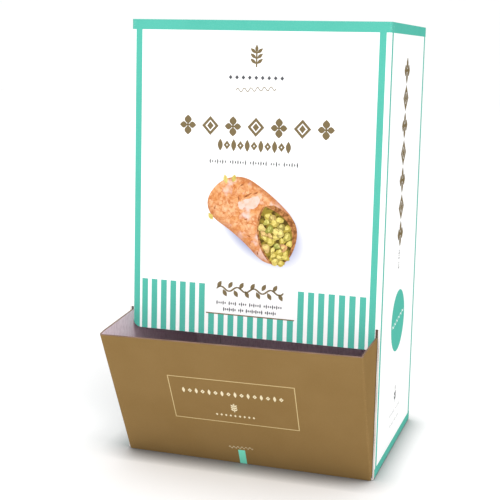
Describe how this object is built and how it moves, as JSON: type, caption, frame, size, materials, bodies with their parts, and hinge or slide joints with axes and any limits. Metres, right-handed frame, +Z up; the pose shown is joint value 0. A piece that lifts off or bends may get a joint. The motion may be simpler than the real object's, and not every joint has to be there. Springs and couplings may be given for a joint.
{
  "type": "counter dispenser carton",
  "caption": "Upright folded-board dispenser carton, closed on top, with a mouth at the foot of its front panel and a hinged chute that leans out below it.",
  "frame": {"origin": "middle of the base of the box round the whole part, with the chute open", "axes": "+Z up, the front panel and the chute face -Y, +X to the right of someone who faces the front"},
  "size_m": [0.18, 0.1936, 0.306],
  "materials": {
    "printed_board": "white coated board with a satin varnish",
    "bronze_board": "coated board printed a matt bronze brown outside, bare and grey inside",
    "mint_ink": "mint green ink on coated board",
    "gold_ink": "dull gold ink on coated board"
  },
  "bodies": {
    "carton": {"carton": "printed_board"},
    "chute": {"chute": "bronze_board"}
  },
  "joints": [
    {"name": "chute_tilt", "type": "hinge", "parent": "carton", "child": "chute", "pos_m": [0, -0.04456, 0.0006], "axis": [1, 0, 0], "range_deg": [-18, 0]}
  ]
}
